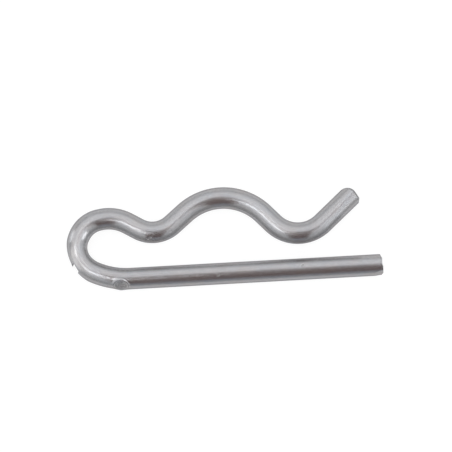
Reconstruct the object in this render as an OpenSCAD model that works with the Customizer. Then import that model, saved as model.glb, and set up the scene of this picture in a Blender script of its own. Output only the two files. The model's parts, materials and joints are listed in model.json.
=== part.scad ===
// Hitch R clip pin, also called an R clip or spring cotter, bent from one length of round wire.
// The straight leg goes through a cross hole in a shaft, and the crest snaps over the outside of the shaft.
// Millimetres. The clip lies flat with its bends in the XY plane. The origin is where the middle line of
// the leg crosses the middle line of the shaft, +X points to the leg's cut end and +Y to the crest.

/* [Wire] */
// Diameter of the wire
wire_d = 4; // [3:0.1:5]

/* [Straight leg] */
// Length of the leg, from the first bend of the eye to its cut end
leg_len = 47.2; // [38:0.1:60]

/* [Eye] */
// Inside radius of the wide bend that lifts the wire away from the leg
entry_r = 13; // [10:0.5:18]
// Angle that the wide bend turns through
entry_turn = 25; // [15:1:32]
// Straight run on either side of the tight bend
eye_run = 0.3; // [0.25:0.05:1]
// Inside radius of the tight bend round the end of the eye
eye_r = 3.1; // [2.8:0.1:3.8]
// Inside radius of the bend that brings the wire back over the leg
return_r = 5.5; // [4.5:0.1:7]
// Angle that this returning bend turns through
return_turn = 40; // [34:1:48]
// Slope at which the wire comes down from the eye
neck_slope = 31; // [27:1:34]
// Straight run on that slope
neck_run = 2.2; // [1.2:0.1:3.4]

/* [Valley] */
// Inside radius of the valley between the eye and the crest
valley_r = 3.5; // [2.5:0.1:5]

/* [Crest] */
// Diameter of the shaft that the clip holds on to
shaft_d = 22; // [21:0.5:26]
// Room between the top of the shaft and the inside of the crest
crest_room = 1; // [0.4:0.1:1.6]
// Inside radius of the crest
crest_r = 8.7; // [7:0.1:10.5]
// Slope of the wire up to the crest
rise_slope = 39; // [34:1:43]
// Slope of the wire down from the crest
fall_slope = 47; // [40:1:51]

/* [Mouth] */
// Gap that the mouth leaves between the toe bend and the leg
mouth_gap = 2.7; // [1.6:0.1:3.6]
// Inside radius of the toe bend, which rides up over the shaft
toe_r = 4.6; // [3:0.1:6]
// Slope of the flared tail
tail_slope = 41; // [30:1:50]
// Length of the flared tail, from the toe bend to its cut end
tail_len = 8.4; // [5:0.1:14]

/* [Cut end of the leg] */
// Step across the middle of the face, where the shear cut broke through
break_step = 0.2; // [0.05:0.05:0.4]
// Distance by which the lower edge of the face lies back from that step
edge_back = 0.1; // [0:0.05:0.3]
// Bevel on the crest side of the face, measured across the wire
leg_bevel_w = 1.1; // [0.4:0.1:1.4]
// The same bevel, measured along the wire
leg_bevel_run = 0.45; // [0.2:0.05:1]
// Depth of the flats that the cutter pinched into the wire beside the face
pinch = 0.14; // [0.05:0.01:0.25]
// Length of those flats along the wire
pinch_run = 1.7; // [1:0.1:3]
// Direction of the upper flat, from straight up towards the side away from the crest
pinch_turn = 50; // [30:1:60]

/* [Cut end of the tail] */
// Radius of the rolled edge on the upper side of the tail
roll_r = 1.3; // [0.6:0.1:1.6]
// Angle by which the face leans back from the top of the wire
face_lean = 5; // [0:1:12]
// Angle by which the lower half of the face is raked back
face_rake = 6; // [2:1:12]
// Chamfer on the lower edge of the face, measured across the wire
nib_w = 0.35; // [0.15:0.05:0.6]
// The same chamfer, measured along the wire
nib_run = 0.95; // [0.4:0.05:1.5]

/* [Tool mark beside the eye] */
// Distance from the start of the wide bend to the middle of the mark
mark_at = 1.8; // [1.6:0.05:4]
// Direction of the mark round the wire, from straight up towards the outside of the bend
mark_turn = 50; // [30:1:70]
// Length of the swollen metal around the mark
mark_len = 2.8; // [2:0.1:3]
// Height of that swollen metal
mark_swell = 0.22; // [0.12:0.01:0.3]
// Radius of the tool that left the dish in its middle
dish_r = 5.8; // [4:0.1:8]
// Depth of the dish, from the top of the swollen metal
dish_depth = 0.38; // [0.15:0.01:0.5]

/* [Nick in the eye] */
// Place of the nick on the tight bend, as an angle from the start of that bend
nick_at = 33; // [20:1:60]
// Length of the nick along the middle line of the wire
nick_len = 1.7; // [0.8:0.1:3]
// Depth of the nick
nick_depth = 0.42; // [0.3:0.01:0.6]
// Place of the deepest point of the scrape beside the nick, as an angle from the start of the bend
scrape_at = 45; // [40:1:70]
// Angle over which the scrape runs out, on either side of that point
scrape_reach = 30; // [20:1:36]
// Depth of the scrape
scrape_depth = 0.25; // [0.1:0.01:0.28]

/* [Hidden] */

wire_r = wire_d / 2;

// Radii of the bends at the middle of the wire
entry_mid = entry_r + wire_r;
eye_mid = eye_r + wire_r;
return_mid = return_r + wire_r;
valley_mid = valley_r + wire_r;
crest_mid = crest_r + wire_r;
toe_mid = toe_r + wire_r;

// The tight bend turns through what the other two bends of the eye leave of it, and hands the wire on
// at this slope to the returning bend
eye_turn = 180 + neck_slope - entry_turn - return_turn;
crown_slope = return_turn - neck_slope;

// Heights of the wire's middle line over the middle line of the leg
entry_top = entry_mid * (1 - cos(entry_turn)) + eye_run * sin(entry_turn);
eye_top = entry_top + eye_mid * (cos(entry_turn) + cos(crown_slope)) + eye_run * sin(crown_slope);
neck_top = eye_top - return_mid * (cos(crown_slope) - cos(neck_slope));
valley_y = neck_top - neck_run * sin(neck_slope) - valley_mid * (1 - cos(neck_slope));
crest_y = shaft_d / 2 + crest_room + wire_r;
toe_y = mouth_gap + wire_d;

// Straight runs that bring the wire up to the crest and down to the mouth
rise_run = (crest_y - valley_y - (valley_mid + crest_mid) * (1 - cos(rise_slope))) / sin(rise_slope);
fall_run = (crest_y - toe_y - (crest_mid + toe_mid) * (1 - cos(fall_slope))) / sin(fall_slope);

// Distances along the leg from the first bend of the eye to the centres of the bends, up to the shaft's
eye_x = (eye_mid - entry_mid) * sin(entry_turn) - eye_run * cos(entry_turn);
return_x = eye_x + (return_mid - eye_mid) * sin(crown_slope) + eye_run * cos(crown_slope);
valley_x = return_x + (return_mid + valley_mid) * sin(neck_slope) + neck_run * cos(neck_slope);
shaft_x = valley_x + (valley_mid + crest_mid) * sin(rise_slope) + rise_run * cos(rise_slope);

// The bends are this much fuller than the straight runs, which end just inside them
seam = 0.004;
lap = 0.1;

// Number of sides that the wire and its bends are drawn with
wire_sides = 40;
bend_sides = 96;

// Room that a cutting shape has beyond the wire
spare = 1;

// Length of wire beyond each cut end, from which the end is shaped
stub = 0.5;

// Radius of the swollen metal's round back, as a share of the wire's, and the angle by which its arc
// runs on into the wire at either end
swell_share = 0.875;
swell_sink = 15;

zinc = [0.66, 0.67, 0.69];

function arc_angle(length, radius) = length / radius * 180 / PI;

// Radius of the circle through both ends of an arc and its top
function arc_radius(half_width, rise) = (half_width * half_width + rise * rise) / (2 * rise);

// Straight run of wire along +X, with its children at its far end
module straight(run, before = lap, after = lap) {
    translate([-before, 0, 0])
        rotate([0, 90, 0])
            cylinder(d = wire_d, h = run + before + after, $fn = wire_sides);
    translate([run, 0, 0])
        children();
}

// Puts its children at the far end of a bend that starts along +X. A positive turn is to the left
module after_bend(mid, turn) {
    centre_y = sign(turn) * mid;
    translate([0, centre_y, 0])
        rotate(turn)
            translate([0, -centre_y, 0])
                children();
}

// Bend in the wire that starts along +X, with its children at its far end
module bend(mid, turn) {
    translate([0, sign(turn) * mid, 0])
        rotate(turn > 0 ? -90 : 90 + turn)
            rotate_extrude(angle = abs(turn), $fn = bend_sides)
                translate([mid, 0])
                    rotate(-90)
                        circle(r = wire_r + seam, $fn = wire_sides);
    after_bend(mid, turn)
        children();
}

// Outline of what the cutter took from the leg, with the cut end at x = 0
module leg_waste() {
    slope = pinch / pinch_run;
    bevel_slope = leg_bevel_run / leg_bevel_w;
    linear_extrude(height = wire_d + 2 * spare, center = true)
        polygon([
            [-pinch_run - spare, -wire_r - slope * spare],
            [-edge_back, -wire_r + pinch],
            [0, -break_step],
            [-break_step, break_step],
            [-break_step, wire_r - leg_bevel_w],
            [-break_step - leg_bevel_run - bevel_slope * spare, wire_r + spare],
            [spare, wire_r + spare],
            [spare, -wire_r - spare],
            [-pinch_run - spare, -wire_r - spare]
        ]);
}

// Flat that the cutter pinched into the upper, outer side of the leg
module leg_pinch() {
    rotate([pinch_turn, 0, 0])
        translate([0, 0, wire_r - pinch])
            rotate([0, -atan(pinch / pinch_run), 0])
                translate([-pinch_run - spare, -wire_r, 0])
                    cube([pinch_run + 2 * spare, wire_d, spare]);
}

module leg() {
    difference() {
        straight(leg_len, lap, stub);
        translate([leg_len, 0, 0]) {
            leg_waste();
            leg_pinch();
        }
    }
}

// Outline of what the cutter took from the tail, with the cut end at x = 0
module tail_waste() {
    rake_back = (wire_r - nib_w) * tan(face_rake);
    nib_slope = nib_run / nib_w;
    rotate([0, -face_lean, 0])
        linear_extrude(height = wire_d + 2 * spare, center = true) {
            polygon([
                [0, 0],
                [-rake_back, nib_w - wire_r],
                [-rake_back - nib_run - nib_slope * nib_w, -wire_r - nib_w],
                [spare, -wire_r - spare],
                [spare, wire_r + spare],
                [0, wire_r + spare]
            ]);
            difference() {
                translate([-roll_r, wire_r - roll_r])
                    square([roll_r + stub, roll_r + spare]);
                translate([-roll_r, wire_r - roll_r])
                    circle(r = roll_r, $fn = wire_sides);
            }
        }
}

module tail() {
    difference() {
        straight(tail_len, lap, stub);
        translate([tail_len, 0, 0])
            tail_waste();
    }
}

// Puts its children at the middle of the tool mark on the wide bend, with +Z out of the wire
module at_mark() {
    after_bend(entry_mid, -arc_angle(mark_at, entry_mid))
        rotate([-mark_turn, 0, 0])
            children();
}

// Metal that the tool pushed up, as an arc of thinner wire that rises out of the clip
module mark_swelling() {
    thin_r = swell_share * wire_r;
    arc_r = arc_radius(mark_len / 2, mark_swell);
    arc_turn = 2 * (asin(mark_len / 2 / arc_r) + swell_sink);
    at_mark()
        translate([0, 0, wire_r + mark_swell - arc_r])
            rotate([90, arc_turn / 2 - 90, 0])
                rotate_extrude(angle = arc_turn, $fn = bend_sides)
                    translate([arc_r - thin_r, 0])
                        circle(r = thin_r, $fn = wire_sides);
}

// Round face of the tool, where it pressed the dish into the wire
module mark_tool() {
    at_mark()
        translate([0, 0, wire_r + mark_swell - dish_depth + dish_r])
            sphere(r = dish_r, $fn = bend_sides);
}

// Wide bend of the eye, with its tool mark, and with its children at its far end
module marked_entry_bend() {
    difference() {
        union() {
            bend(entry_mid, -entry_turn);
            mark_swelling();
        }
        mark_tool();
    }
    after_bend(entry_mid, -entry_turn)
        children();
}

// Puts its children at the centre of the tight bend, with +X out through the wire at an angle from its start
module at_eye_centre(angle) {
    translate([0, -eye_mid, 0])
        rotate(90 - angle)
            children();
}

// Outside of the wire that is missing at the nick, with a round floor
module nick_waste() {
    turn = arc_angle(nick_len, eye_mid);
    at_eye_centre(nick_at)
        rotate(-turn / 2)
            rotate_extrude(angle = turn, $fn = bend_sides)
                translate([eye_mid - nick_depth, 0])
                    difference() {
                        translate([0, -wire_r - spare])
                            square([wire_r + spare, wire_d + 2 * spare]);
                        circle(r = wire_r, $fn = wire_sides);
                    }
}

// Sliver outside a flatter arc that runs out on both sides of the nick
module scrape_waste() {
    out_r = eye_mid + wire_r;
    half = out_r * sin(scrape_reach);
    flat_r = arc_radius(half, out_r * (1 - cos(scrape_reach)) - scrape_depth);
    at_eye_centre(scrape_at)
        linear_extrude(height = wire_d + 2 * spare, center = true)
            difference() {
                translate([eye_mid, -half - spare])
                    square([wire_r + spare, 2 * half + 2 * spare]);
                translate([out_r - scrape_depth - flat_r, 0])
                    circle(r = flat_r, $fn = bend_sides);
            }
}

// Tight bend of the eye, with its nick and scrape, and with its children at its far end
module worn_eye_bend() {
    difference() {
        bend(eye_mid, -eye_turn);
        nick_waste();
        scrape_waste();
    }
    after_bend(eye_mid, -eye_turn)
        children();
}

// The wire from the first bend of the eye to the cut end of the tail, where each stretch carries the next
module arm() {
    marked_entry_bend()
    straight(eye_run)
    worn_eye_bend()
    straight(eye_run)
    bend(return_mid, -return_turn)
    straight(neck_run)
    bend(valley_mid, neck_slope + rise_slope)
    straight(rise_run)
    bend(crest_mid, -rise_slope - fall_slope)
    straight(fall_run)
    bend(toe_mid, fall_slope + tail_slope)
    tail();
}

module clip() {
    color(zinc)
        translate([-shaft_x, 0, 0]) {
            leg();
            rotate(180)
                arm();
        }
}

clip();
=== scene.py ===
"""Hitch R clip pin: one length of bright zinc-plated spring wire, lying flat under soft studio light.

Everything is in the frame of the CAD model: +X along the straight leg to its cut end, +Y from the leg to
the crest, +Z up. Objects are in metres. Sizes of the wire are in millimetres and angles in degrees, as in the
CAD source, apart from theta, the direction round the wire. It is in radians, 0 to the left of the way from
the leg's cut end to the tail's and a quarter turn straight up.
"""
import json
import math

import bpy
import numpy as np
from mathutils import Matrix


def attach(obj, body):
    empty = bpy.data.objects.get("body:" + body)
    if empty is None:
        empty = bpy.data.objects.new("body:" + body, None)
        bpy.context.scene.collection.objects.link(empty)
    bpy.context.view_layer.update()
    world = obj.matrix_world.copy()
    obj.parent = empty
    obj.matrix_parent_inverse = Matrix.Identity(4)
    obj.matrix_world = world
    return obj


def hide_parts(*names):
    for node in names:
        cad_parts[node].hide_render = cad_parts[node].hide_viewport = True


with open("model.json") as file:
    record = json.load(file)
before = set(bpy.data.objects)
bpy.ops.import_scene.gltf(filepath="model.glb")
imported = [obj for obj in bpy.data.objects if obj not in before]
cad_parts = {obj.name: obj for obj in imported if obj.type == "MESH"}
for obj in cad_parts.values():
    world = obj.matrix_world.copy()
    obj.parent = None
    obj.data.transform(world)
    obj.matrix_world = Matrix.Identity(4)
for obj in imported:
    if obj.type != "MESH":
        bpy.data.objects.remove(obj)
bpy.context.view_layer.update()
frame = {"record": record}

MM = 0.001

# Sizes that the record gives for the leg and for the shaft
MOUNTS = {mount["name"]: mount["dims"] for mount in frame["record"]["mounts"]}
WIRE_R = MOUNTS["leg"]["r_mm"]
LEG_LEN = MOUNTS["leg"]["length_mm"]
SHAFT_R = MOUNTS["shaft_grip"]["r_mm"]

# Inside radii of the bends
ENTRY_R = 13.0
EYE_R = 3.1
RETURN_R = 5.5
VALLEY_R = 3.5
CREST_R = 8.7
TOE_R = 4.6

# Angles that the bends of the eye turn through, and slopes of the straight runs
ENTRY_TURN = 25.0
RETURN_TURN = 40.0
NECK_SLOPE = 31.0
RISE_SLOPE = 39.0
FALL_SLOPE = 47.0
TAIL_SLOPE = 41.0

# Straight runs
EYE_RUN = 0.3
NECK_RUN = 2.2
TAIL_LEN = 8.4

# Room over the shaft, and gap between the toe bend and the leg
CREST_ROOM = 1.0
MOUTH_GAP = 2.7

# Radii of the bends at the middle of the wire, and heights of the middle line over that of the leg
ENTRY_MID = ENTRY_R + WIRE_R
EYE_MID = EYE_R + WIRE_R
RETURN_MID = RETURN_R + WIRE_R
VALLEY_MID = VALLEY_R + WIRE_R
CREST_MID = CREST_R + WIRE_R
TOE_MID = TOE_R + WIRE_R
CREST_Y = SHAFT_R + CREST_ROOM + WIRE_R
TOE_Y = MOUTH_GAP + 2 * WIRE_R
EYE_TURN = 180.0 + NECK_SLOPE - ENTRY_TURN - RETURN_TURN
CROWN_SLOPE = RETURN_TURN - NECK_SLOPE

# The wire sets out from the leg's cut end towards -X
LEG_HEADING = 180.0

# Length in millimetres that is as good as nothing
TINY = 1e-6


def cosd(angle):
    return math.cos(math.radians(angle))


def sind(angle):
    return math.sin(math.radians(angle))


def wire_stretches():
    """Stretches of the wire as name, run or radius, and turn, with the place of the leg's cut end."""
    entry_top = ENTRY_MID * (1 - cosd(ENTRY_TURN)) + EYE_RUN * sind(ENTRY_TURN)
    eye_top = entry_top + EYE_MID * (cosd(ENTRY_TURN) + cosd(CROWN_SLOPE)) + EYE_RUN * sind(CROWN_SLOPE)
    neck_top = eye_top - RETURN_MID * (cosd(CROWN_SLOPE) - cosd(NECK_SLOPE))
    valley_y = neck_top - NECK_RUN * sind(NECK_SLOPE) - VALLEY_MID * (1 - cosd(NECK_SLOPE))
    rise = CREST_Y - valley_y - (VALLEY_MID + CREST_MID) * (1 - cosd(RISE_SLOPE))
    fall = CREST_Y - TOE_Y - (CREST_MID + TOE_MID) * (1 - cosd(FALL_SLOPE))
    rise_run, fall_run = rise / sind(RISE_SLOPE), fall / sind(FALL_SLOPE)
    eye_x = (EYE_MID - ENTRY_MID) * sind(ENTRY_TURN) - EYE_RUN * cosd(ENTRY_TURN)
    return_x = eye_x + (RETURN_MID - EYE_MID) * sind(CROWN_SLOPE) + EYE_RUN * cosd(CROWN_SLOPE)
    valley_x = return_x + (RETURN_MID + VALLEY_MID) * sind(NECK_SLOPE) + NECK_RUN * cosd(NECK_SLOPE)
    shaft_x = valley_x + (VALLEY_MID + CREST_MID) * sind(RISE_SLOPE) + rise_run * cosd(RISE_SLOPE)
    stretches = [
        ("leg", LEG_LEN, 0),
        ("entry", ENTRY_MID, -ENTRY_TURN),
        ("eye_in", EYE_RUN, 0),
        ("eye", EYE_MID, -EYE_TURN),
        ("eye_out", EYE_RUN, 0),
        ("return", RETURN_MID, -RETURN_TURN),
        ("neck", NECK_RUN, 0),
        ("valley", VALLEY_MID, NECK_SLOPE + RISE_SLOPE),
        ("rise", rise_run, 0),
        ("crest", CREST_MID, -RISE_SLOPE - FALL_SLOPE),
        ("fall", fall_run, 0),
        ("toe", TOE_MID, FALL_SLOPE + TAIL_SLOPE),
        ("tail", TAIL_LEN, 0)]
    return stretches, (LEG_LEN - shaft_x, 0.0)


class Wire:
    """Middle line of the bent wire. Places on it are lengths along the wire from the leg's cut end."""

    def __init__(self):
        stretches, (x, y) = wire_stretches()
        heading, at = LEG_HEADING, 0.0
        self.rows, self.start = [], {}
        for name, size, turn in stretches:
            length = size if turn == 0 else size * math.radians(abs(turn))
            self.rows.append((at, length, x, y, heading, size, turn))
            self.start[name] = at
            if turn == 0:
                x, y = x + size * cosd(heading), y + size * sind(heading)
            else:
                way = math.copysign(1, turn)
                centre = (x - way * size * sind(heading), y + way * size * cosd(heading))
                heading += turn
                x, y = centre[0] + way * size * sind(heading), centre[1] - way * size * cosd(heading)
            at += length
        self.length = at

    def place(self, s):
        """Point and heading of the middle line at the lengths s."""
        x, y, heading = np.zeros_like(s), np.zeros_like(s), np.zeros_like(s)
        for at, length, x0, y0, h0, size, turn in self.rows:
            here = s >= at - TINY
            t = s[here] - at
            if turn == 0:
                x[here], y[here], heading[here] = x0 + t * cosd(h0), y0 + t * sind(h0), math.radians(h0)
            else:
                way = math.copysign(1, turn)
                h = math.radians(h0) + way * np.minimum(t, length) / size
                x[here] = x0 - way * size * sind(h0) + way * size * np.sin(h)
                y[here] = y0 + way * size * cosd(h0) - way * size * np.cos(h)
                heading[here] = h
        return x, y, heading


# Tool mark on the wide bend: distance of its middle from the start of the bend, angle from straight up
# towards the outside, half length and half width of its edge, and depth of its dish
MARK_AT, MARK_TURN, MARK_HALF_LEN, MARK_HALF_W, MARK_DEPTH = 1.68, 42.0, 1.09, 1.0, 0.24
MARK_THETA = math.radians(90 - MARK_TURN)
# The dish is deepest over its middle and runs out just past its edge, and nothing is cut beyond its reach
DISH_FULLNESS, DISH_REACH = 1.1, 1.9
# Rim pushed up round the dish: height, ring that it stands on and width, with the edge as ring 1
RIM_HEIGHT, RIM_RING, RIM_WIDTH = 0.09, 1.2, 0.2
# How the rim's height changes round it: mean and change as shares, and waves along and across
RIM_MEAN, RIM_CHANGE, RIM_WAVES = 0.8, 0.3, (3.3, 2.1)
# Mounds beside the mark: height, place along and across from its middle, and half lengths
MARK_BULGE = (0.17, 0.0, -1.6, 0.8, 0.6)
MARK_LUMP = (0.12, 0.65, 1.1, 0.4, 0.3)

# Nick in the outside of the tight bend: angle from the start of the bend, length, depths at its far and its
# near wall, length that a wall takes, and rounding of its edge
NICK_AT, NICK_LEN, NICK_DEEP, NICK_SHALLOW, NICK_WALL, NICK_ROUND = 31.8, 1.35, 0.66, 0.5, 0.16, 0.01
# Torn sliver over the nick: reach, length of its base, half width and lift
SPUR_REACH, SPUR_BASE, SPUR_HALF_W, SPUR_LIFT = 0.6, 0.9, 0.45, 0.12
# Scrape past the nick: angle of its deepest point, angle over which it runs out either way, and depth
SCRAPE_AT, SCRAPE_REACH, SCRAPE_DEPTH = 40.0, 36.0, 0.2
# Flat squeezed into the inside of the tight bend: distance from the start of the bend, half length and depth
SQUEEZE_AT, SQUEEZE_HALF, SQUEEZE_DEPTH = 5.2, 3.2, 0.13
# Directions round the wire of the outside and the inside of the tight bend
EYE_OUTSIDE, EYE_INSIDE = 0.0, math.pi

# Small pits, and raised specks where the depth is below nothing: distance from the leg's cut end, offset to
# the left of the way along the wire, half lengths along and across, and depth
PITS = [
    (15.3, -0.62, 0.28, 0.12, 0.09),
    (15.1, -0.85, 0.16, 0.14, 0.14),
    (31.0, 0.35, 0.2, 0.06, 0.03),
    (53.6, -0.35, 0.18, 0.08, -0.025),
    (72.9, -0.72, 0.1, 0.1, 0.03),
    (76.75, -1.3, 0.16, 0.14, 0.1),
    (77.1, -1.0, 0.25, 0.16, 0.07),
    (80.6, -0.9, 0.2, 0.12, 0.04),
    (82.9, 0.1, 0.3, 0.1, 0.02)]
# Depth at which a pit's metal is as rough as a torn face
PIT_DARK = 0.12

# Cut end of the leg: length that it is cut back by, step where the cut broke through, and the bevels on the
# crest's side and on the other side, each as its width across the wire and its run along it
LEG_TRIM, BREAK_STEP = 0.26, 0.12
LEG_BEVEL_W, LEG_BEVEL_RUN = 0.75, 0.33
EDGE_BEVEL_W, EDGE_BEVEL_RUN = 0.5, 0.4
# Waves in the leg's face: height, and waves across and up
FACE_WAVE, FACE_WAVES = 0.02, (2.3, 5.1)
# Flats pinched in beside the leg's face: depth, length, and directions round the wire
PINCH, PINCH_RUN, PINCH_TURN = 0.14, 1.7, 50.0
PINCH_THETAS = (0.0, math.radians(90 - PINCH_TURN))

# Cut end of the tail: length that it is cut back by, radius of the rolled edge and share of it that the arc
# takes, lean and rake of the face, and width and run of the nib on its lower edge
TAIL_TRIM, ROLL_R, ROLL_SHARE = 0.1, 1.75, 0.995
FACE_LEAN, FACE_RAKE = 5.0, 9.0
NIB_W, NIB_RUN = 0.55, 0.65

# Flats cut into the wire: rounding of their edges, and cosine of the widest angle that they are cut over
FLAT_ROUND, FLAT_COS = 0.02, 0.3

# Rough metal: ring of the tool mark that it ends on, length past the nick's walls, cosine of the angle
# round the wire beside the nick, and the width that each takes to fade in
MARK_WEAR, MARK_WEAR_FADE = 1.1, 0.25
NICK_WEAR, NICK_WEAR_FADE = 0.1, 0.2
NICK_WEAR_COS, NICK_WEAR_COS_FADE = 0.8, 0.1


def smooth_step(t):
    t = np.clip(t, 0, 1)
    return t * t * (3 - 2 * t)


def soft_min(a, b, round_off):
    """The lesser of a and b, rounded off where they cross."""
    h = np.clip(0.5 + 0.5 * (b - a) / round_off, 0, 1)
    return b + (a - b) * h - round_off * h * (1 - h)


def angle_off(theta, centre):
    return (theta - centre + math.pi) % (2 * math.pi) - math.pi


def chord(radius, theta, centre, depth, round_off=FLAT_ROUND):
    """Cuts a flat of the given depth into the round wire, square to the direction centre."""
    out = np.cos(angle_off(theta, centre))
    limit = (WIRE_R - depth) / np.maximum(out, FLAT_COS)
    rounding = np.clip(depth, TINY, round_off)
    return np.where((out > FLAT_COS) & (depth > 0), soft_min(radius, limit, rounding), radius)


def mound(along, across, height, at, off, half_len, half_w):
    """Height of a round mound at distances along and across the wire."""
    return height * np.exp(-((along - at) / half_len) ** 2 - ((across - off) / half_w) ** 2)


def mark_field(wire, s, theta):
    """Ring of the tool mark, where 1 is its edge, and the distances along and across from its middle."""
    along = s - wire.start["entry"] - MARK_AT
    across = WIRE_R * angle_off(theta, MARK_THETA)
    return np.hypot(along / MARK_HALF_LEN, across / MARK_HALF_W), along, across


def tool_mark(wire, s, theta, radius):
    """Dish that the bending tool pressed into the wide bend, with the metal that it pushed up around it."""
    ring, along, across = mark_field(wire, s, theta)
    uneven = RIM_MEAN + RIM_CHANGE * np.sin(RIM_WAVES[0] * along + RIM_WAVES[1] * across)
    rim = RIM_HEIGHT * np.exp(-((ring - RIM_RING) / RIM_WIDTH) ** 2) * uneven
    raised = radius + mound(along, across, *MARK_BULGE) + rim + mound(along, across, *MARK_LUMP)
    depth = MARK_DEPTH * np.clip(DISH_FULLNESS - (along / MARK_HALF_LEN) ** 2, 0, 1)
    return np.where(ring < DISH_REACH, chord(raised, theta, MARK_THETA, depth), raised)


def scrape_depth(past):
    """Depth of the scrape, an arc wider than the bend's, at distances past the start of the tight bend."""
    rim = EYE_MID + WIRE_R
    half = rim * sind(SCRAPE_REACH)
    rise = rim * (1 - cosd(SCRAPE_REACH)) - SCRAPE_DEPTH
    arc_r = (half * half + rise * rise) / (2 * rise)
    centre = rim - SCRAPE_DEPTH - arc_r
    off = np.radians(np.clip(np.degrees(past / EYE_MID) - SCRAPE_AT, -SCRAPE_REACH, SCRAPE_REACH))
    reach = centre * np.cos(off) + np.sqrt(arc_r ** 2 - (centre * np.sin(off)) ** 2)
    return np.maximum(rim - reach, 0)


def squeeze_depth(past):
    """Depth of the flat inside the tight bend at distances past the start of the bend."""
    return SQUEEZE_DEPTH * np.clip(1 - ((past - SQUEEZE_AT) / SQUEEZE_HALF) ** 2, 0, 1)


def nick_place(wire, s):
    """Length along the wire from the middle of the nick."""
    return s - wire.start["eye"] - EYE_MID * math.radians(NICK_AT)


def nick_depth(past):
    """Depth of the nick at distances past its middle, deeper at its far wall."""
    share = np.clip(past / NICK_LEN + 0.5, 0, 1)
    walls = smooth_step((NICK_LEN / 2 + NICK_WALL / 2 - np.abs(past)) / NICK_WALL)
    return (NICK_SHALLOW + (NICK_DEEP - NICK_SHALLOW) * share) * walls


def eye_wear(wire, s, theta, radius):
    """Scrape and nick in the outside of the tight bend, and the flat squeezed into its inside."""
    past = s - wire.start["eye"]
    radius = chord(radius, theta, EYE_OUTSIDE, scrape_depth(past))
    radius = chord(radius, theta, EYE_INSIDE, squeeze_depth(past))
    return chord(radius, theta, EYE_OUTSIDE, nick_depth(nick_place(wire, s)), NICK_ROUND)


def spur(wire, s, theta):
    """Torn sliver that hangs over the nick: how far each point is drawn along the wire, and how far out."""
    past = nick_place(wire, s) - NICK_LEN / 2
    drawn = np.interp(past, [0.0, NICK_WALL / 2, SPUR_BASE], [0, 1, 0])
    narrow = np.exp(-(WIRE_R * angle_off(theta, EYE_OUTSIDE) / SPUR_HALF_W) ** 4)
    return SPUR_REACH * drawn * narrow, SPUR_LIFT * drawn ** 2 * narrow


def pit_depth(s, theta):
    """Depth of the small pits and specks, all on the side of the wire that lies up."""
    depth = np.zeros_like(s)
    for at, offset, half_len, half_w, deepest in PITS:
        across = WIRE_R * angle_off(theta, math.acos(offset / WIRE_R))
        depth += mound(s, across, deepest, at, 0.0, half_len, half_w)
    return depth


def end_pinch(s, theta, radius):
    """Flats that the cutter pinched into the leg beside its face."""
    depth = PINCH * np.clip(1 - s / PINCH_RUN, 0, 1)
    for centre in PINCH_THETAS:
        radius = chord(radius, theta, centre, depth)
    return radius


def wire_radius(wire, s, theta):
    radius = np.full_like(s, WIRE_R)
    radius = tool_mark(wire, s, theta, radius)
    radius = eye_wear(wire, s, theta, radius) - pit_depth(s, theta)
    return end_pinch(s, theta, radius)


def wear_field(wire, s, theta):
    """How rough the surface is, from 0 for drawn wire to 1 for torn metal in the mark, nick and pits."""
    ring, _, _ = mark_field(wire, s, theta)
    mark = smooth_step((MARK_WEAR - ring) / MARK_WEAR_FADE)
    nick = smooth_step((NICK_LEN / 2 + NICK_WEAR - np.abs(nick_place(wire, s))) / NICK_WEAR_FADE)
    beside = smooth_step((np.cos(theta) - NICK_WEAR_COS) / NICK_WEAR_COS_FADE)
    pits = np.clip(pit_depth(s, theta) / PIT_DARK, 0, 1)
    return np.maximum(np.maximum(mark, nick * beside), pits)


def leg_face(across, up):
    """How far the leg's cut face lies back from the CAD model's end, at places across and up the wire."""
    knots = {
        -WIRE_R: BREAK_STEP + LEG_BEVEL_RUN,
        LEG_BEVEL_W - WIRE_R: BREAK_STEP,
        -BREAK_STEP: BREAK_STEP,
        2 * BREAK_STEP: 0.0,
        WIRE_R - EDGE_BEVEL_W: 0.0,
        WIRE_R: EDGE_BEVEL_RUN}
    back = LEG_TRIM + np.interp(across, list(knots), list(knots.values()))
    return back + FACE_WAVE * np.sin(FACE_WAVES[1] * up + FACE_WAVES[0] * across)


def tail_face(across, up):
    """How far the tail's cut face lies back from the CAD model's end, at places across and up the wire."""
    rake_back = (WIRE_R - NIB_W) * math.tan(math.radians(FACE_RAKE))
    rolled = np.clip(across - (WIRE_R - ROLL_R), 0, ROLL_R * ROLL_SHARE)
    back = TAIL_TRIM + ROLL_R - np.sqrt(ROLL_R ** 2 - rolled ** 2)
    low = -np.minimum(across, 0)
    raked = np.interp(low, [0, WIRE_R - NIB_W, WIRE_R], [0, rake_back, rake_back + NIB_RUN])
    return back + raked + up * math.tan(math.radians(FACE_LEAN))


# Mesh of the wire: points in a ring, the usual and the fine step between rings, and the length over which
# the slant of a cut face fades out of the rings beside it
SIDES = 160
RING_STEP, FINE_STEP = 0.4, 0.085
SHEAR_REACH = 3.6
# Distances over which the rings lie close: from an end, and from the middle of the mark, the nick and a pit
END_FINE, MARK_FINE, NICK_FINE, PIT_FINE = 2.4, 1.9, 1.3, 0.45
# Rings of points on a cut face, as shares of the wire's radius
CAP_RINGS = (0.978, 0.96, 0.9, 0.82, 0.73, 0.64, 0.55, 0.46, 0.37, 0.28, 0.19, 0.1)


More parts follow.
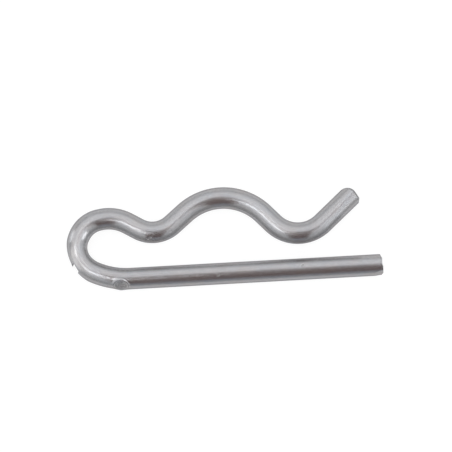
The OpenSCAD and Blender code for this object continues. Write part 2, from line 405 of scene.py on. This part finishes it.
def ring_places(wire):
    """Lengths along the wire at which it gets a ring of points, closer together at marks and ends."""
    middles = [(0, END_FINE), (wire.length, END_FINE), (wire.start["entry"] + MARK_AT, MARK_FINE),
               (wire.start["eye"] + EYE_MID * math.radians(NICK_AT), NICK_FINE)]
    middles += [(pit[0], PIT_FINE) for pit in PITS]
    fine = [(max(at - reach, 0), min(at + reach, wire.length)) for at, reach in middles]
    marks = sorted({end for pair in fine for end in pair})
    places = [0.0]
    for low, high in zip(marks, marks[1:]):
        close = any(a <= low and high <= b for a, b in fine)
        count = max(1, round((high - low) / (FINE_STEP if close else RING_STEP)))
        places += [low + (high - low) * (k + 1) / count for k in range(count)]
    return np.array(places)


def wire_mesh(wire):
    """Points, straightened coordinates, wear and faces of the whole wire, closed by its two cut faces."""
    places = ring_places(wire)
    theta = np.arange(SIDES) * 2 * math.pi / SIDES
    s, t = np.meshgrid(places, theta, indexing="ij")
    drawn, lift = spur(wire, s, t)
    radius = wire_radius(wire, s, t) + lift
    across, up = radius * np.cos(t), radius * np.sin(t)
    back_leg = leg_face(across, up) * np.clip(1 - s / SHEAR_REACH, 0, 1) ** 2
    back_tail = tail_face(across, up) * np.clip(1 - (wire.length - s) / SHEAR_REACH, 0, 1) ** 2
    rows = [(s + back_leg - back_tail - drawn, across, up, wear_field(wire, s, t))]
    for face, ring, end, way in ((leg_face, 0, 0.0, 1), (tail_face, -1, wire.length, -1)):
        for share in (*CAP_RINGS, 0.0):
            count = SIDES if share else 1
            a, u = across[ring][:count] * share, up[ring][:count] * share
            rows.append((end + way * face(a, u), a, u, np.ones(count)))
    lay = np.stack([np.concatenate([np.ravel(row[k]) for row in rows]) for k in range(3)], axis=1)
    wear = np.concatenate([np.ravel(row[3]) for row in rows])
    x, y, heading = wire.place(lay[:, 0])
    points = np.stack([x - lay[:, 1] * np.sin(heading), y + lay[:, 1] * np.cos(heading), lay[:, 2]], axis=1)
    return points, lay, wear, wire_faces(len(places))


def band(first, second, count, closed=True):
    """Quads between two rows of points that start at the given numbers. Closed rows are rings."""
    return [(first + k, first + (k + 1) % count, second + (k + 1) % count, second + k)
            for k in range(count if closed else count - 1)]


def bands(rows, count, closed=True):
    """Quads between each row of points and the next."""
    return [quad for r in range(rows - 1) for quad in band(r * count, (r + 1) * count, count, closed)]


def fan(ring, count, middle):
    """Triangles between a ring of points and the one point in its middle."""
    return [(ring + k, ring + (k + 1) % count, middle) for k in range(count)]


def wire_faces(ring_count):
    """Faces of the wire's side and of its two cut faces, all turned outward."""
    faces = bands(ring_count, SIDES)
    at = ring_count * SIDES
    for rim, flip in ((0, True), ((ring_count - 1) * SIDES, False)):
        ring, cap = rim, []
        for _ in CAP_RINGS:
            cap += band(ring, at, SIDES)
            ring, at = at, at + SIDES
        cap += fan(ring, SIDES, at)
        faces += [face[::-1] for face in cap] if flip else cap
        at += 1
    return faces


def add_mesh(name, points, faces, smooth=True):
    mesh = bpy.data.meshes.new(name)
    mesh.from_pydata([tuple(p) for p in points], [], faces)
    mesh.update()
    mesh.polygons.foreach_set("use_smooth", [smooth] * len(mesh.polygons))
    piece = bpy.data.objects.new(name, mesh)
    bpy.context.scene.collection.objects.link(piece)
    return piece


def whole_numbers(items, key):
    """The whole number that each of a mesh's items holds under a key."""
    values = np.zeros(len(items), dtype=np.int32)
    items.foreach_get(key, values)
    return values


def add_tangent_map(mesh, lay):
    """Map whose first direction runs round the wire, which tells the shader how the draw lines lie."""
    corners = whole_numbers(mesh.loops, "vertex_index")
    starts = whole_numbers(mesh.polygons, "loop_start")
    face_of = np.repeat(np.arange(len(starts)), whole_numbers(mesh.polygons, "loop_total"))
    turn = np.arctan2(lay[:, 2], lay[:, 1])[corners] / (2 * math.pi) % 1
    highest = np.maximum.reduceat(turn, starts)[face_of]
    past_seam = highest - turn > 0.5
    turn = np.where(past_seam, turn + 1, turn)
    uv = np.stack([turn, lay[corners, 0] / (2 * math.pi * WIRE_R)], axis=1)
    mesh.uv_layers.new(name="wire").data.foreach_set("uv", np.ravel(uv).astype(np.float32))


class Nodes:
    """Short way to build a material's or the world's nodes. An input is named, or i and its number."""

    def __init__(self, tree):
        self.tree = tree
        tree.nodes.clear()

    def add(self, kind, settings=None, **inputs):
        node = self.tree.nodes.new("ShaderNode" + kind)
        for key, value in (settings or {}).items():
            setattr(node, key, value)
        for key, value in inputs.items():
            numbered = key[0] == "i" and key[1:].isdigit()
            socket = node.inputs[int(key[1:]) if numbered else key.replace("_", " ")]
            if isinstance(value, bpy.types.NodeSocket):
                self.tree.links.new(value, socket)
            else:
                socket.default_value = value
        return node

    def link(self, source, socket):
        self.tree.links.new(source, socket)


def new_material(name):
    material = bpy.data.materials.new(name)
    material.use_nodes = True
    return material, Nodes(material.node_tree)


def math_node(n, operation, a, b, clamp=False):
    return n.add("Math", {"operation": operation, "use_clamp": clamp}, i0=a, i1=b).outputs[0]


def ramp(n, value, low, high, to_low, to_high):
    return n.add("MapRange", {"clamp": True}, i0=value, i1=low, i2=high, i3=to_low, i4=to_high).outputs[0]


# Zinc: its cooler and its warmer colour, its tint at glancing angles, and how far its gloss is stretched
ZINC_COOL, ZINC_WARM = (0.413, 0.417, 0.43, 1), (0.43, 0.416, 0.414, 1)
GLANCE_TINT = (0.32, 0.32, 0.34, 1)
GLOSS_STRETCH = 0.915
# Noises on it: scale along the wire as a share of that across it, scale, detail and roughness
STREAKS = (0.08, 6.0, 3.0, 0.6)
CLOUDS = (0.4, 0.8, 2.0, 0.5)
MOTTLE = (1.0, 2.6, 4.0, 0.65)
GRIT = (1.0, 5.0, 2.0, 0.6)
# Ranges of the noises that are used, for tone, for roughness and for the torn metal
TONE_RANGE, ROUGH_RANGE, GRIT_RANGE = (0.3, 0.7), (0.25, 0.75), (0.38, 0.62)
# Changes of tone, up or down, and the torn metal's darkest and lightest change
STREAK_TONE, MOTTLE_TONE, TORN_TONE = 0.04, 0.05, (-0.42, 0.12)
# Roughness of the drawn wire, and what torn metal adds to it
DRAWN_ROUGH, TORN_ROUGH = (0.235, 0.255), 0.16
# Bump: its height in metres and strength, and the shares of the mottling and of the torn metal's grit
BUMP_HEIGHT, BUMP_STRENGTH, MOTTLE_BUMP, GRIT_BUMP = 0.000007, 0.4, 0.15, 7.0


def noise(n, lay, along, scale, detail, roughness):
    """Noise on the straightened wire, drawn out along it where along is under 1."""
    place = n.add("Mapping", {}, Vector=lay, Scale=(along, 1.0, 1.0)).outputs[0]
    grain = n.add("TexNoise", {}, Vector=place, Scale=scale, Detail=detail, Roughness=roughness)
    return grain.outputs["Fac"]


def zinc_colour(n, streaks, clouds, mottle, grit, wear):
    """Colour clouds, with streaks and mottling in their tone, darker where the metal is torn."""
    tint = n.add("ValToRGB", {}, Fac=ramp(n, clouds, *TONE_RANGE, 0.0, 1.0))
    tint.color_ramp.elements[0].color = ZINC_COOL
    tint.color_ramp.elements[1].color = ZINC_WARM
    tone = math_node(n, "ADD", ramp(n, streaks, *TONE_RANGE, -STREAK_TONE, STREAK_TONE),
                     ramp(n, mottle, *TONE_RANGE, -MOTTLE_TONE, MOTTLE_TONE))
    torn = math_node(n, "MULTIPLY", wear, ramp(n, grit, *GRIT_RANGE, *TORN_TONE))
    value = math_node(n, "ADD", math_node(n, "ADD", tone, torn), 1.0)
    return n.add("HueSaturation", {}, Color=tint.outputs[0], Value=value).outputs[0]


def zinc_bump(n, streaks, mottle, grit, wear):
    """Draw lines along the wire, and grit where the metal is torn."""
    lines = math_node(n, "ADD", streaks, math_node(n, "MULTIPLY", mottle, MOTTLE_BUMP))
    torn = math_node(n, "MULTIPLY", math_node(n, "MULTIPLY", wear, grit), GRIT_BUMP)
    height = math_node(n, "ADD", lines, torn)
    return n.add("Bump", {}, Strength=BUMP_STRENGTH, Distance=BUMP_HEIGHT, Height=height).outputs[0]


def zinc_material():
    """Bright zinc on drawn wire, whose gloss is stretched across the draw lines."""
    material, n = new_material("zinc_plated_wire")
    lay = n.add("Attribute", {"attribute_name": "lay"}).outputs["Vector"]
    wear = n.add("Attribute", {"attribute_name": "wear"}).outputs["Fac"]
    streaks, clouds, mottle, grit = (noise(n, lay, *values) for values in (STREAKS, CLOUDS, MOTTLE, GRIT))
    drawn_rough = ramp(n, mottle, *ROUGH_RANGE, *DRAWN_ROUGH)
    rough = math_node(n, "ADD", drawn_rough, math_node(n, "MULTIPLY", wear, TORN_ROUGH))
    round_wire = n.add("Tangent", {"direction_type": "UV_MAP", "uv_map": "wire"}).outputs[0]
    shader = n.add("BsdfPrincipled", {}, Base_Color=zinc_colour(n, streaks, clouds, mottle, grit, wear),
                   Metallic=1.0, Roughness=rough, Normal=zinc_bump(n, streaks, mottle, grit, wear),
                   Tangent=round_wire, Anisotropic=GLOSS_STRETCH, Specular_Tint=GLANCE_TINT)
    n.link(shader.outputs[0], n.add("OutputMaterial", {}).inputs[0])
    return material


def add_wire():
    wire = Wire()
    points, lay, wear, faces = wire_mesh(wire)
    piece = add_mesh("wire_form", points * MM, faces)
    mesh = piece.data
    mesh.attributes.new("lay", "FLOAT_VECTOR", "POINT").data.foreach_set("vector", np.ravel(lay))
    mesh.attributes.new("wear", "FLOAT", "POINT").data.foreach_set("value", wear)
    add_tangent_map(mesh, lay)
    mesh.materials.append(zinc_material())
    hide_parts("clip")
    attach(piece, "root")


# Studio, in metres. The floor lies just below the wire
FLOOR_GAP = 0.01 * MM
FLOOR_Z = -WIRE_R * MM - FLOOR_GAP
FLOOR_SIZE = 7.0
# Plain grey that floor and background show to diffuse rays, and the white background that others see
WHITE, PLAIN_GREY = (1, 1, 1, 1), (0.8, 0.8, 0.8, 1)
# The floor that the camera sees: its own white glow, and the little that takes shadows
FLOOR_GLOW, FLOOR_SHADED = 0.88, (0.16, 0.16, 0.16, 1)

TENT_R = 3.3
TENT_RINGS, TENT_SIDES = 18, 48
# Height as a share of the tent's, and the level of its light there
TENT_STOPS = [(0.0, 0.42), (0.3, 0.55), (0.6, 1.14), (0.85, 0.88), (1.0, 2.1)]
TENT_TINT = (0.99, 1.0, 1.02)
# The tent's colours are divided by this, and its strength is multiplied by it
TENT_STRENGTH = 2
# How much brighter the tent is on its far side, and less bright on the near one
FAR_GAIN = 0.3

CARD_REACH = 2.6
# Outline of the dark card: distance towards +Y and half width, both for a height of 1
DARK_CARD = [
    (0.3, 0.06), (0.0, 0.09), (-0.33, 0.145), (-1.0, 0.28), (-1.73, 0.38), (-3.3, 0.61), (-7.0, 0.66)]
DARK_STEPS = 6
# Tones of the card's lower and upper part, and heights as shares of its own between which one turns into
# the other
DARK_LOW_TONE, DARK_TONE = (0.44, 0.48, 0.54, 1), (0.165, 0.11, 0.1, 1)
DARK_LOW_AT, DARK_AT = 0.42, 0.52

PANEL_REACH = 2.5
PANEL_SIDES = 24
# Round panels that show as highlights: name, azimuth from +X, lean from straight up, half angle, and light
PANELS = [
    ("key_panel", 234.0, 11.5, 4.6, (5.2, 5.3, 5.4)),
    ("second_panel", 186.0, 20.5, 3.6, (7.0, 7.0, 6.9)),
    ("right_panel", 325.4, 47.4, 9.2, (3.4, 3.5, 3.6)),
    ("left_panel", 159.0, 78.5, 10.3, (2.1, 2.15, 2.2)),
    ("near_panel", 199.0, 62.0, 20.0, (1.42, 1.43, 1.45))]


def seen_as_background(n):
    """1 for the rays that should see the white background: camera, glossy and transmission rays."""
    path = n.add("LightPath", {})
    either = math_node(n, "ADD", path.outputs["Is Camera Ray"], path.outputs["Is Glossy Ray"])
    return math_node(n, "ADD", either, path.outputs["Is Transmission Ray"], clamp=True)


def add_floor():
    half = FLOOR_SIZE / 2
    corners = [(x * half, y * half, FLOOR_Z) for x, y in ((-1, -1), (1, -1), (1, 1), (-1, 1))]
    floor = add_mesh("floor", corners, [(0, 1, 2, 3)], smooth=False)
    material, n = new_material("floor_white")
    plain = n.add("BsdfDiffuse", {}, Color=PLAIN_GREY).outputs[0]
    shaded = n.add("BsdfDiffuse", {}, Color=FLOOR_SHADED).outputs[0]
    white = n.add("Emission", {}, Color=WHITE, Strength=FLOOR_GLOW).outputs[0]
    both = n.add("AddShader", {}, i0=shaded, i1=white).outputs[0]
    mix = n.add("MixShader", {}, i0=seen_as_background(n), i1=plain, i2=both).outputs[0]
    n.link(mix, n.add("OutputMaterial", {}).inputs[0])
    floor.data.materials.append(material)


def sky_point(azimuth, polar, reach):
    """Point in the direction that leans by polar from straight up, towards azimuth from +X."""
    return (reach * sind(polar) * cosd(azimuth), reach * sind(polar) * sind(azimuth), reach * cosd(polar))


def glow(n, color, strength=1.0):
    light = n.add("Emission", {}, Color=color, Strength=strength).outputs[0]
    n.link(light, n.add("OutputMaterial", {}).inputs[0])


def world_place(n):
    """The world coordinates of the point that is shaded."""
    return n.add("SeparateXYZ", {}, i0=n.add("NewGeometry", {}).outputs["Position"]).outputs


def stage_light(piece, material):
    """The lights and cards take part in everything but the picture itself."""
    piece.visible_camera = False
    piece.data.materials.append(material)


def add_tent():
    """Light tent over the clip, brighter overhead than near the floor, and brighter on its far side."""
    points = [sky_point(360 * k / TENT_SIDES, 90 - 90 * r / TENT_RINGS, TENT_R)
              for r in range(TENT_RINGS) for k in range(TENT_SIDES)]
    points.append((0, 0, TENT_R))
    faces = bands(TENT_RINGS, TENT_SIDES)
    faces += fan((TENT_RINGS - 1) * TENT_SIDES, TENT_SIDES, TENT_RINGS * TENT_SIDES)
    tent = add_mesh("light_tent", points, faces)
    material, n = new_material("tent_glow")
    place = world_place(n)
    shade = n.add("ValToRGB", {}, Fac=math_node(n, "DIVIDE", place[2], TENT_R))
    stops = shade.color_ramp.elements
    while len(stops) < len(TENT_STOPS):
        stops.new(0.5)
    for stop, (at, level) in zip(stops, TENT_STOPS):
        stop.position = at
        stop.color = (*(level / TENT_STRENGTH * part for part in TENT_TINT), 1)
    near, far = TENT_STRENGTH * (1 - FAR_GAIN), TENT_STRENGTH * (1 + FAR_GAIN)
    glow(n, shade.outputs[0], ramp(n, place[1], -TENT_R, TENT_R, near, far))
    stage_light(tent, material)


def add_dark_card():
    """Dark shape of whoever leans over the clip: narrow overhead and wider towards the near side."""
    points = []
    for y, half in DARK_CARD:
        for k in range(DARK_STEPS + 1):
            x = half * (2 * k / DARK_STEPS - 1)
            scale = CARD_REACH / math.sqrt(x * x + y * y + 1)
            points.append((scale * x, scale * y, scale))
    card = add_mesh("dark_card", points, bands(len(DARK_CARD), DARK_STEPS + 1, closed=False))
    material, n = new_material("dark_card_tone")
    shade = n.add("ValToRGB", {}, Fac=math_node(n, "DIVIDE", world_place(n)[2], CARD_REACH))
    tones = ((DARK_LOW_AT, DARK_LOW_TONE), (DARK_AT, DARK_TONE))
    for stop, (at, tone) in zip(shade.color_ramp.elements, tones):
        stop.position = at
        stop.color = tone
    glow(n, shade.outputs[0])
    stage_light(card, material)


def add_panel(name, azimuth, polar, spread, level):
    """Round soft light that shows as a highlight on the wire."""
    centre = np.array(sky_point(azimuth, polar, PANEL_REACH))
    away = centre / PANEL_REACH
    side = np.cross(away, (0, 0, 1)) / sind(polar)
    lift = np.cross(side, away)
    radius = PANEL_REACH * math.tan(math.radians(spread))
    turns = [360 * k / PANEL_SIDES for k in range(PANEL_SIDES)]
    rim = [centre + radius * (cosd(turn) * side + sind(turn) * lift) for turn in turns]
    panel = add_mesh(name, [centre, *rim], fan(1, PANEL_SIDES, 0))
    material, n = new_material(name + "_glow")
    glow(n, (*level, 1))
    stage_light(panel, material)


def set_world():
    world = bpy.data.worlds.new("studio")
    bpy.context.scene.world = world
    world.use_nodes = True
    n = Nodes(world.node_tree)
    white = n.add("Background", {}, Color=WHITE, Strength=1.0).outputs[0]
    plain = n.add("Background", {}, Color=PLAIN_GREY, Strength=1.0).outputs[0]
    mix = n.add("MixShader", {}, i0=seen_as_background(n), i1=plain, i2=white).outputs[0]
    n.link(mix, n.add("OutputWorld", {}).inputs[0])


# Camera: how far the leg climbs to the right in the picture, the place in its centre and its width, the
# camera's height and its sensor's width, all in millimetres, and the range that it sees, in metres
PICTURE_TILT = 3.167
PICTURE_CENTRE = (0.742, 8.776)
PICTURE_WIDTH = 83.95
CAMERA_HEIGHT = 1000.0
SENSOR = 36.0
VIEW_RANGE = (0.01, 20)


def add_camera():
    """Long lens straight above the clip, turned so that the leg climbs slightly to the right."""
    data = bpy.data.cameras.new("camera")
    data.sensor_width = SENSOR
    data.lens = SENSOR * CAMERA_HEIGHT / PICTURE_WIDTH
    data.clip_start, data.clip_end = VIEW_RANGE
    camera = bpy.data.objects.new("camera", data)
    bpy.context.scene.collection.objects.link(camera)
    place = Matrix.Translation([size * MM for size in (*PICTURE_CENTRE, CAMERA_HEIGHT)])
    camera.matrix_world = place @ Matrix.Rotation(math.radians(-PICTURE_TILT), 4, "Z")
    bpy.context.scene.camera = camera


add_camera()
add_wire()
add_floor()
add_tent()
add_dark_card()
for panel in PANELS:
    add_panel(*panel)
set_world()
bpy.context.scene.view_settings.view_transform = "Standard"
